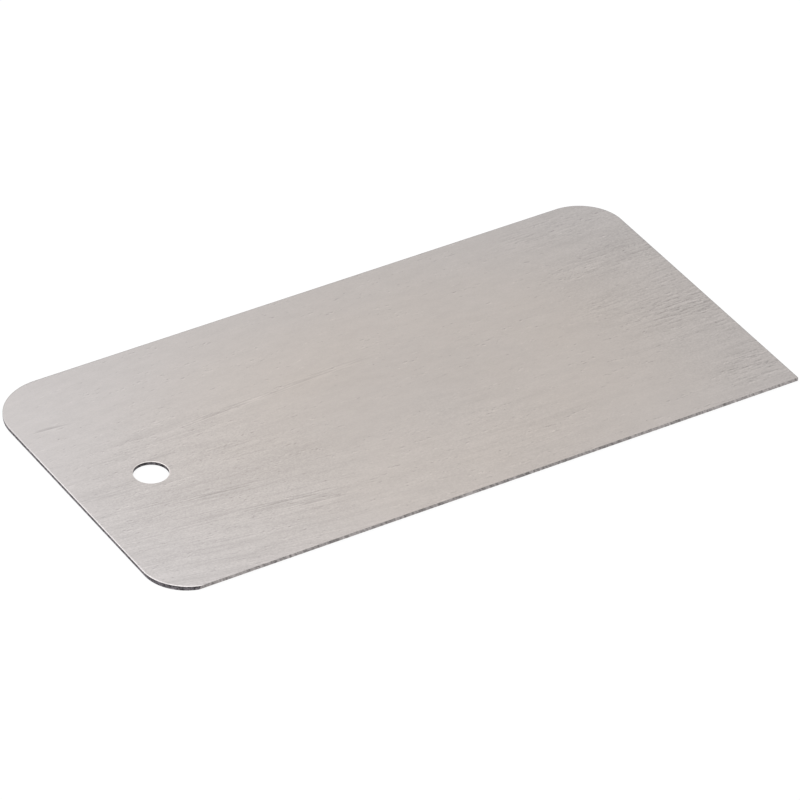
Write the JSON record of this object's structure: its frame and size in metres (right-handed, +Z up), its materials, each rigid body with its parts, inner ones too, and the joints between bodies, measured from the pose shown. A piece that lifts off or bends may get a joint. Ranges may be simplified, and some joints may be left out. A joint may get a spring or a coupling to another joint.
{
  "type": "card scraper",
  "caption": "Thin flat steel card scraper: a rectangular plate with rounded corners, a square corner at the end of its ground working edge, and a round hanging hole.",
  "frame": {"origin": "middle of the underside", "axes": "+X along the plate, away from the hanging hole; -Y faces out of the ground working edge; +Z up through the thickness"},
  "size_m": [0.115, 0.06, 0.0006],
  "materials": {
    "blade_steel": "satin cold-rolled spring steel with fine scuffs along its length, ground across the working edge"
  },
  "bodies": {
    "root": {"blade": "blade_steel"}
  },
  "joints": []
}
